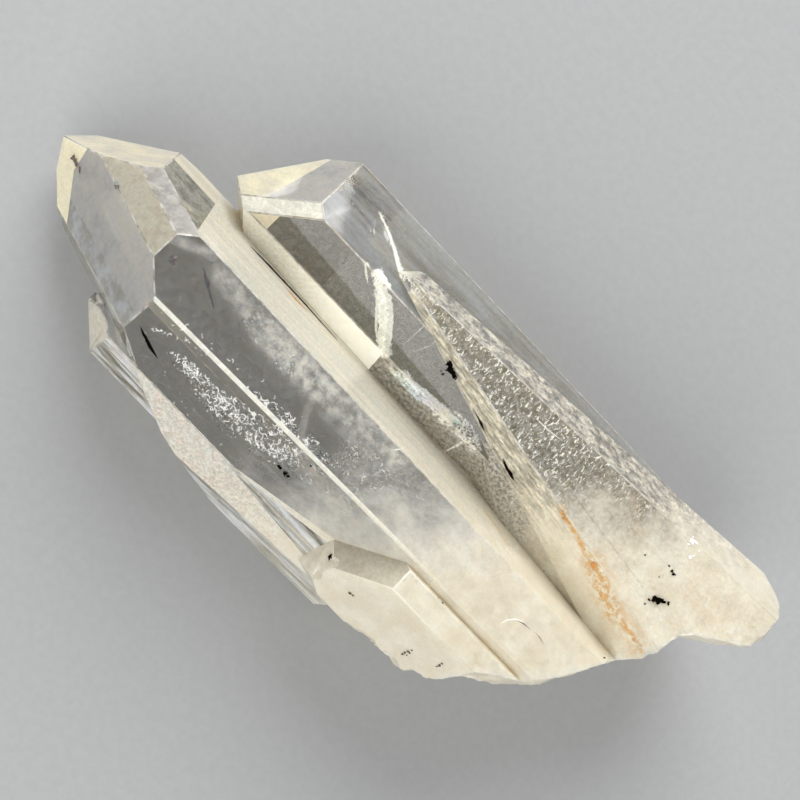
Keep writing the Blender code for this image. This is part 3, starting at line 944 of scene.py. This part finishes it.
# Paths of the veils, cracks and clouds: pixel x, pixel y, width and depth in millimetres
MAIN_VEIL = (
    ((172, 352, 0.8, 2.2), (188, 366, 1.8, 2.5), (205, 388, 2.6, 3.0), (225, 408, 4.0, 3.5),
     (248, 424, 4.6, 3.5), (275, 442, 4.4, 3.5), (300, 460, 3.0, 3.5)),
    ((149, 328, 0.4, 1.2), (165, 333, 0.5, 1.6), (190, 342, 0.4, 1.6)),
)
VEIL_GRAINS = (
    ((141, 330, 0.6, 1.6), (160, 347, 0.8, 2.0), (180, 363, 1.8, 2.5), (205, 392, 3.0, 3.0),
     (232, 418, 5.0, 3.5), (275, 448, 5.4, 3.5), (318, 474, 3.0, 3.5)),
)
WISPS = (
    ((228, 290, 1.4, 3.0), (262, 330, 3.6, 4.0), (290, 352, 5.0, 4.0), (335, 392, 3.6, 4.0)),
    ((290, 452, 3.0, 2.5), (318, 478, 4.0, 3.0), (345, 520, 4.0, 3.0)),
    ((338, 436, 2.0, 2.5), (362, 462, 4.0, 3.0), (392, 492, 3.0, 3.0)),
)
CLOUD = tuple(
    ((345, 440, 5.0, depth), (400, 490, 10.0, depth), (450, 540, 12.0, depth), (492, 596, 9.0, depth))
    for depth in (2.5, 5.0, 8.0)
)
CRACKLE = (
    ((379, 211, 0.3, 1.5), (388, 238, 0.8, 1.6), (397, 258, 0.9, 1.6), (404, 276, 1.6, 1.4),
     (430, 286, 1.4, 1.2)),
    ((376, 270, 1.0, 1.2), (383, 300, 1.7, 1.5), (385, 330, 1.5, 1.6), (388, 356, 1.0, 1.5)),
    ((400, 372, 0.5, 1.2), (430, 398, 0.8, 1.3), (446, 418, 3.0, 1.3), (462, 434, 3.2, 1.2),
     (480, 452, 0.8, 1.0)),
)
SCUFFS = (
    ((118, 280, 1.6, 0.8), (132, 288, 2.4, 1.0), (150, 296, 1.6, 0.8)),
    ((430, 250, 1.0, 0.6), (465, 287, 2.0, 0.6), (515, 346, 2.0, 0.6), (565, 412, 1.4, 0.6)),
    ((170, 300, 2.5, 1.5), (215, 350, 3.5, 2.0), (260, 400, 3.5, 2.0), (310, 440, 3.0, 2.0)),
    ((160, 370, 1.5, 1.5), (200, 430, 3.0, 2.0), (250, 490, 2.5, 2.0)),
    ((690, 536, 1.0, 0.04), (695, 545, 1.6, 0.04), (690, 560, 1.0, 0.04)),
)
STRAND_SIDES = 6

# Colours of the thin crack, and how they repeat along it
RAINBOW_COLOURS = (
    (0.93, 0.92, 0.84), (0.72, 0.86, 0.80), (0.62, 0.78, 0.90), (0.80, 0.80, 0.92), (0.95, 0.93, 0.80),
)
RAINBOW_DIRECTION = (0.8, 0.6, 0.0)
RAINBOW_WAVES = 0.14
RAINBOW_NOISE = (1.2, 3.0)
RAINBOW_WANDER = 0.3

# Bright flat strips of open crack: pixel x, pixel y, width and depth in millimetres
BRIGHT_STRIPS = (
    ((374, 269, 0.4, 1.4), (379, 283, 1.2, 1.5), (383, 302, 1.5, 1.7), (383, 322, 1.2, 1.7),
     (382, 344, 1.1, 1.6), (387, 360, 0.5, 1.4)),
    ((382, 286, 0.2, 1.1), (389, 298, 0.7, 1.2), (391, 316, 0.6, 1.2), (389, 336, 0.8, 1.2),
     (386, 356, 0.3, 1.2)),
    ((376, 296, 0.1, 1.0), (377, 312, 0.4, 1.0), (376, 330, 0.3, 1.0), (379, 346, 0.1, 1.0)),
    ((379, 211, 0.15, 1.0), (390, 235, 0.35, 1.2), (397, 258, 0.5, 1.3), (402, 281, 0.3, 1.2)),
    ((365, 262, 0.1, 1.0), (366, 272, 0.3, 1.2), (368, 284, 0.1, 1.2)),
)
RAINBOW_STRIPS = (
    ((386, 364, 0.4, 0.7), (400, 378, 1.2, 0.9), (418, 394, 1.8, 0.9), (438, 409, 1.2, 0.9),
     (462, 424, 0.5, 0.8)),
)

# Fine threads in the seams: pixel x, pixel y, thickness and depth in millimetres
WHITE_THREADS = (
    ((392, 450, 0.06, 0.3), (403, 449, 0.22, 0.3), (416, 452, 0.06, 0.3)),
    ((444, 452, 0.06, 0.3), (456, 446, 0.34, 0.3), (469, 437, 0.06, 0.3)),
    # Painted highlight along the rim of a small curved chip.
    ((500, 624, 0.02, 0.0), (507, 620, 0.06, 0.0), (516, 619, 0.05, 0.0), (524, 622, 0.02, 0.0)),
    ((396, 366, 0.06, 0.5), (424, 391, 0.22, 0.6), (446, 408, 0.30, 0.6), (466, 428, 0.10, 0.6)),
    ((434, 310, 0.05, 0.8), (422, 328, 0.10, 0.8), (404, 344, 0.05, 0.8)),
    ((446, 332, 0.05, 0.8), (430, 346, 0.09, 0.8), (412, 352, 0.05, 0.8)),
    ((535, 417, 0.06, 0.2), (548, 430, 0.20, 0.2), (564, 442, 0.06, 0.2)),
)
DARK_THREADS = (
    ((250, 246, 0.08, 0.0), (267, 264, 0.32, 0.0), (300, 299, 0.26, 0.0), (338, 341, 0.08, 0.0)),
    # Painted shade: a thin dark line along the same curved chip.
    ((516, 620, 0.02, 0.0), (524, 624, 0.09, 0.0), (531, 630, 0.02, 0.0)),
    ((535, 632, 0.02, 0.0), (540, 638, 0.07, 0.0), (544, 645, 0.02, 0.0)),
    ((140, 326, 0.08, 0.0), (146, 338, 0.50, 0.0), (152, 349, 0.42, 0.0), (158, 359, 0.06, 0.0)),
    ((203, 266, 0.10, 0.6), (207, 282, 0.50, 0.8), (214, 309, 0.06, 1.2)),
    ((117, 278, 0.06, 0.4), (120, 295, 0.24, 0.5), (123, 311, 0.05, 0.6)),
    ((503, 458, 0.10, 0.0), (506, 466, 0.40, 0.0), (511, 474, 0.55, 0.0), (514, 481, 0.10, 0.0)),
    ((475, 412, 0.06, 0.0), (481, 423, 0.36, 0.0), (485, 432, 0.08, 0.0)),
)
RUSTY_THREADS = (
    ((284, 286, 0.06, 0.0), (295, 299, 0.24, 0.0), (308, 312, 0.06, 0.0)),
    ((409, 425, 0.06, 0.2), (418, 434, 0.22, 0.2), (425, 441, 0.08, 0.2)),
    ((442, 469, 0.06, 0.2), (447, 474, 0.26, 0.2), (453, 481, 0.06, 0.2)),
    ((540, 478, 0.08, 0.1), (561, 512, 0.20, 0.1), (577, 538, 0.16, 0.1), (600, 578, 0.22, 0.1),
     (622, 616, 0.18, 0.1), (642, 648, 0.08, 0.1)),
    ((486, 513, 0.06, 0.3), (497, 528, 0.14, 0.3), (508, 542, 0.06, 0.3)),
)

# Specks: pixel, depth and size in millimetres
SPECKS = (
    (450, 364, 0.1, 0.75), (452, 369, 0.1, 0.95), (454, 374, 0.1, 0.75), (449, 370, 0.1, 0.5),
    (450, 361, 0.1, 0.35), (456, 378, 0.1, 0.4), (444, 374, 0.1, 0.4), (441, 371, 0.1, 0.25),
    (446, 370, 0.1, 0.25), (279, 466, 0.0, 0.40), (281, 468, 0.0, 0.3), (285, 473, 0.0, 0.50),
    (288, 476, 0.0, 0.4), (311, 466, 0.0, 0.25), (654, 599, 0.05, 0.6), (658, 600, 0.05, 0.85),
    (662, 601, 0.05, 0.6), (649, 600, 0.05, 0.4), (668, 603, 0.05, 0.35), (645, 604, 0.05, 0.25),
    (674, 574, 0.05, 0.45), (672, 571, 0.05, 0.3), (669, 566, 0.05, 0.25), (659, 577, 0.05, 0.2),
    (645, 555, 0.05, 0.25), (331, 556, 0.1, 0.6), (329, 559, 0.1, 0.3), (442, 603, 0.1, 0.3),
    (438, 598, 0.1, 0.2), (604, 658, 0.05, 0.3),
)
SMOKY_SPECKS = (
    (74, 158, 0.15, 0.7), (77, 163, 0.15, 0.8), (80, 169, 0.15, 0.6), (76, 160, 0.15, 0.5),
    (172, 260, 0.3, 0.8), (174, 263, 0.3, 0.5), (169, 258, 0.3, 0.4), (100, 262, 0.3, 0.5),
    (350, 593, 0.05, 0.35), (353, 595, 0.05, 0.3), (403, 654, 0.05, 0.3), (405, 652, 0.05, 0.35),
    (408, 651, 0.05, 0.4), (410, 653, 0.05, 0.3), (412, 650, 0.05, 0.25), (407, 655, 0.05, 0.2),
    (437, 666, 0.05, 0.25), (440, 665, 0.05, 0.35), (442, 663, 0.05, 0.25),
)
WHITE_SPECKS = (
    (692, 541, 0.05, 0.6), (696, 543, 0.05, 0.4), (688, 544, 0.05, 0.3), (690, 557, 0.05, 0.4),
    (693, 556, 0.05, 0.25), (699, 551, 0.05, 0.2), (693, 537, 0.05, 0.25),
)
RUSTY_SPECKS = (
    (312, 470, 1.2, 0.4), (371, 363, 0.4, 0.4),
    (562, 513, 0.08, 0.4), (564, 518, 0.08, 0.5), (593, 562, 0.08, 0.35), (594, 566, 0.08, 0.5),
    (602, 596, 0.1, 0.3), (496, 546, 0.2, 0.3), (500, 540, 0.2, 0.25),
)


SPECK_PIECES = (
    ("dark_specks", SPECKS, "black_mineral"),
    ("smoky_specks", SMOKY_SPECKS, "smoky_mineral"),
    ("rusty_specks", RUSTY_SPECKS, "rusty_mineral"),
    ("white_specks", WHITE_SPECKS, "speck_white"),
)

# Scattered flakes: paths; lean of their sheet and tilt of each in degrees; flakes for each square
# millimetre; smallest and largest size and clump size in millimetres; bare share; seed; look; strokes
BRIGHT_FLAKES = {
    "main_veil": (MAIN_VEIL, 30.0, 50.0, 17.0, 0.35, 1.2, 1.6, 0.42, 3, "crack_silver", True),
    "veil_grains": (VEIL_GRAINS, 30.0, 40.0, 12.0, 0.06, 0.34, 1.6, 0.42, 4, "veil_white", False),
    "wisps": (WISPS, 20.0, 60.0, 30.0, 0.05, 0.24, 3.5, 0.42, 5, "veil_white", False),
    "wisp_strokes": (WISPS, 20.0, 40.0, 2.5, 0.2, 0.8, 3.5, 0.40, 6, "veil_white", True),
    "cloud": (CLOUD, 0.0, 80.0, 14.0, 0.06, 0.20, 7.0, 0.34, 7, "veil_white", False),
    "crackle": (CRACKLE, 15.0, 40.0, 30.0, 0.25, 0.9, 1.6, 0.36, 11, "crack_bright", True),
    "crackle_grains": (CRACKLE, 15.0, 40.0, 30.0, 0.06, 0.34, 1.6, 0.36, 12, "crack_bright", False),
    "scuffs": (SCUFFS, 0.0, 60.0, 1.6, 0.10, 0.7, 2.0, 0.36, 15, "crack_silver", True),
}
# Painted shade: dark strokes among the bright flakes of the veil.
VEIL_SHADOWS = (VEIL_GRAINS, 30.0, 50.0, 9.0, 0.2, 0.8, 1.6, 0.42, 9, "gap_shade", True)


def add_strand(mesh_data, path, flatness, raggedness):
    """Closed strand inside the quartz along a path of pixels, widths and depths, its ends pointed."""
    stations = resampled(path, 3.0)
    middles = [Quartz.inside(station[:2], station[3] * MM) for station in stations]
    rings = []
    for index in range(1, len(stations) - 1):
        forward = (middles[index + 1] - middles[index - 1]).normalized()
        across = forward.cross(pixel_direction(stations[index][:2])).normalized()
        rise = forward.cross(across)
        half = stations[index][2] / 2 * MM
        ring = []
        for step in range(STRAND_SIDES):
            angle = math.tau * step / STRAND_SIDES
            uneven = 1.0 + raggedness * noise.noise(Vector((index * 0.9, step * 2.1, stations[0][0])))
            offset = (math.cos(angle) * across + math.sin(angle) * flatness * rise) * half * uneven
            ring.append(mesh_data.verts.new(middles[index] + offset))
        rings.append(ring)
    first, last = mesh_data.verts.new(middles[0]), mesh_data.verts.new(middles[-1])
    for step in range(STRAND_SIDES):
        after = (step + 1) % STRAND_SIDES
        mesh_data.faces.new((first, rings[0][after], rings[0][step]))
        mesh_data.faces.new((last, rings[-1][step], rings[-1][after]))
        for here, there in zip(rings, rings[1:]):
            mesh_data.faces.new((here[step], here[after], there[after], there[step]))


def strand_piece(name, paths, flatness, raggedness, material):
    mesh_data = bmesh.new()
    for path in paths:
        add_strand(mesh_data, path, flatness, raggedness)
    solid_piece(name, mesh_data, material)


def speck_piece(name, specks, material):
    mesh_data = bmesh.new()
    for index, (across, down, depth, size) in enumerate(specks):
        add_speck(mesh_data, Quartz.inside((across, down), depth * MM), size * MM, index)
    solid_piece(name, mesh_data, material)


def add_speck(mesh_data, place, size, index):
    """Jagged closed grain."""
    grain_mesh = bmesh.new()
    bmesh.ops.create_icosphere(grain_mesh, subdivisions=2, radius=size / 2)
    for vertex in grain_mesh.verts:
        way = vertex.co.normalized()
        vertex.co *= max(0.2, 1.0 + 1.5 * noise.noise(way * 3.1 + Vector((index * 5.0, 0.0, 0.0))))
    known = {}
    for vertex in grain_mesh.verts:
        known[vertex] = mesh_data.verts.new(vertex.co + place)
    for face in grain_mesh.faces:
        mesh_data.faces.new([known[vertex] for vertex in face.verts])
    grain_mesh.free()


def solid_piece(name, mesh_data, material):
    bmesh.ops.recalc_face_normals(mesh_data, faces=mesh_data.faces[:])
    mesh = bpy.data.meshes.new(name)
    mesh_data.to_mesh(mesh)
    mesh_data.free()
    mesh.materials.append(material)
    finish_piece(new_object(name, mesh))


def rainbow_material():
    """Pale colours of a thin crack that splits the light."""
    material = plain_material("rainbow_film")
    tree = material.node_tree
    place = place_in_mm(tree)
    bands = calc(tree, "FRACT", product(tree, along(tree, place, RAINBOW_DIRECTION), RAINBOW_WAVES))
    wander = product(tree, grain(tree, place, *RAINBOW_NOISE), RAINBOW_WANDER)
    uneven = calc(tree, "ADD", bands, wander, clamp=True)
    ramp = add_node(tree, "ShaderNodeValToRGB", {0: uneven})
    stops = ramp.color_ramp.elements
    while len(stops) < len(RAINBOW_COLOURS):
        stops.new(0.5)
    for index, (stop, colour) in enumerate(zip(stops, RAINBOW_COLOURS)):
        stop.position = index / (len(RAINBOW_COLOURS) - 1)
        stop.color = colour + (1.0,)
    # Painted light: the film's colours also glow, in place of the light it throws back.
    for name in ("Base Color", "Emission Color"):
        tree.links.new(ramp.outputs[0], tree.nodes["Principled BSDF"].inputs[name])
    return material


class QUARTZ_OT_inclusions(bpy.types.Operator):
    """Scatter the veils, wisps, clouds and cracks inside the quartz"""
    bl_idname = "quartz.inclusions"
    bl_label = "Veils and clouds"

    def execute(self, context):
        for name in BRIGHT_FLAKES:
            scatter(name, *BRIGHT_FLAKES[name])
        strand_piece("bright_strips", BRIGHT_STRIPS, 0.12, 0.7, plain_material("crack_lemon"))
        strand_piece("rainbow_strips", RAINBOW_STRIPS, 0.10, 0.25, rainbow_material())
        strand_piece("white_threads", WHITE_THREADS, 0.6, 0.8, plain_material("crack_bright"))
        return {"FINISHED"}


class QUARTZ_OT_dark_grains(bpy.types.Operator):
    """Make the painted shade among the veil's flakes, the dark and rusty threads and the specks in the
    quartz
    """
    bl_idname = "quartz.dark_grains"
    bl_label = "Threads and specks"

    def execute(self, context):
        scatter("veil_shadows", *VEIL_SHADOWS)
        strand_piece("dark_threads", DARK_THREADS, 0.6, 0.6, plain_material("black_mineral"))
        strand_piece("rusty_threads", RUSTY_THREADS, 0.6, 1.0, plain_material("rusty_mineral"))
        for name, specks, look_name in SPECK_PIECES:
            speck_piece(name, specks, plain_material(look_name))
        return {"FINISHED"}


# Stage

def soft_light(name, direction, width, power):
    data = bpy.data.lights.new(name, "AREA")
    data.shape = "DISK"
    data.size = width
    data.energy = power
    light = bpy.data.objects.new(name, data)
    bpy.context.scene.collection.objects.link(light)
    aim = Vector(direction).normalized()
    light.location = aim * LIGHT_DISTANCE
    light.rotation_mode = "QUATERNION"
    light.rotation_quaternion = aim.to_track_quat("Z", "Y")
    return light


def floor_material(colour):
    material = bpy.data.materials.new("pale_floor")
    material.use_nodes = True
    tree = material.node_tree
    shader = tree.nodes["Principled BSDF"]
    tone = fade(tree, grain(tree, place_in_mm(tree), *FLOOR_NOISE), 0.2, 0.8)
    darker = tuple(0.93 * part for part in colour[:3]) + (1.0,)
    tree.links.new(blend_colour(tree, tone, darker, colour), shader.inputs["Base Color"])
    shader.inputs["Roughness"].default_value = 0.8
    return material


class QUARTZ_OT_stage(bpy.types.Operator):
    """Set the pale floor, the soft lights and the camera"""
    bl_idname = "quartz.stage"
    bl_label = "Stage"

    def execute(self, context):
        settings = context.scene.quartz_stage
        half = settings.floor_size / 2
        mesh = bpy.data.meshes.new("floor")
        corners = [(across * half, along_y * half, -FLOOR_DROP)
                   for across, along_y in ((-1, -1), (1, -1), (1, 1), (-1, 1))]
        mesh.from_pydata(corners, [], [(0, 1, 2, 3)])
        mesh.materials.append(floor_material(settings.floor))
        floor = new_object("floor", mesh)
        soft_light("key_light", KEY_DIRECTION, KEY_WIDTH, settings.key_power)
        soft_light("fill_light", FILL_DIRECTION, FILL_WIDTH, settings.fill_power)
        world = bpy.data.worlds.new("surroundings")
        world.use_nodes = True
        background = world.node_tree.nodes["Background"]
        background.inputs["Color"].default_value = SKY_COLOUR
        background.inputs["Strength"].default_value = settings.sky_strength
        context.scene.world = world
        context.scene.view_settings.view_transform = "Standard"
        data = bpy.data.cameras.new("camera")
        data.lens = LENS
        data.sensor_width = SENSOR_WIDTH
        data.clip_start = 0.01
        data.clip_end = 20.0
        camera = bpy.data.objects.new("camera", data)
        context.scene.collection.objects.link(camera)
        right, up, back = camera_axes()
        turn = Matrix((right, up, back)).transposed().to_4x4()
        camera.matrix_world = Matrix.Translation(camera_place()) @ turn
        context.scene.camera = camera
        return {"FINISHED"}


class QUARTZ_PT_sidebar(bpy.types.Panel):
    """Pieces of the quartz cluster"""
    bl_idname = "QUARTZ_PT_sidebar"
    bl_label = "Quartz Cluster"
    bl_space_type = "VIEW_3D"
    bl_region_type = "UI"
    bl_category = "Quartz"

    def draw(self, context):
        for operator in OPERATORS:
            self.layout.operator(operator.bl_idname)


OPERATORS = (QUARTZ_OT_stage, QUARTZ_OT_body, QUARTZ_OT_inclusions, QUARTZ_OT_dark_grains)
SETTINGS = (("quartz_body", BodySettings), ("quartz_stage", StageSettings))
CLASSES = tuple(group for _, group in SETTINGS) + OPERATORS + (QUARTZ_PT_sidebar,)


def register():
    for item in CLASSES:
        bpy.utils.register_class(item)
    for name, group in SETTINGS:
        setattr(bpy.types.Scene, name, bpy.props.PointerProperty(type=group))


def unregister():
    for name, _ in SETTINGS:
        delattr(bpy.types.Scene, name)
    for item in reversed(CLASSES):
        bpy.utils.unregister_class(item)


def main():
    register()
    Quartz.measure()
    bpy.ops.quartz.stage()
    bpy.ops.quartz.body()
    bpy.ops.quartz.inclusions()
    bpy.ops.quartz.dark_grains()


if __name__ == "__main__":
    main()
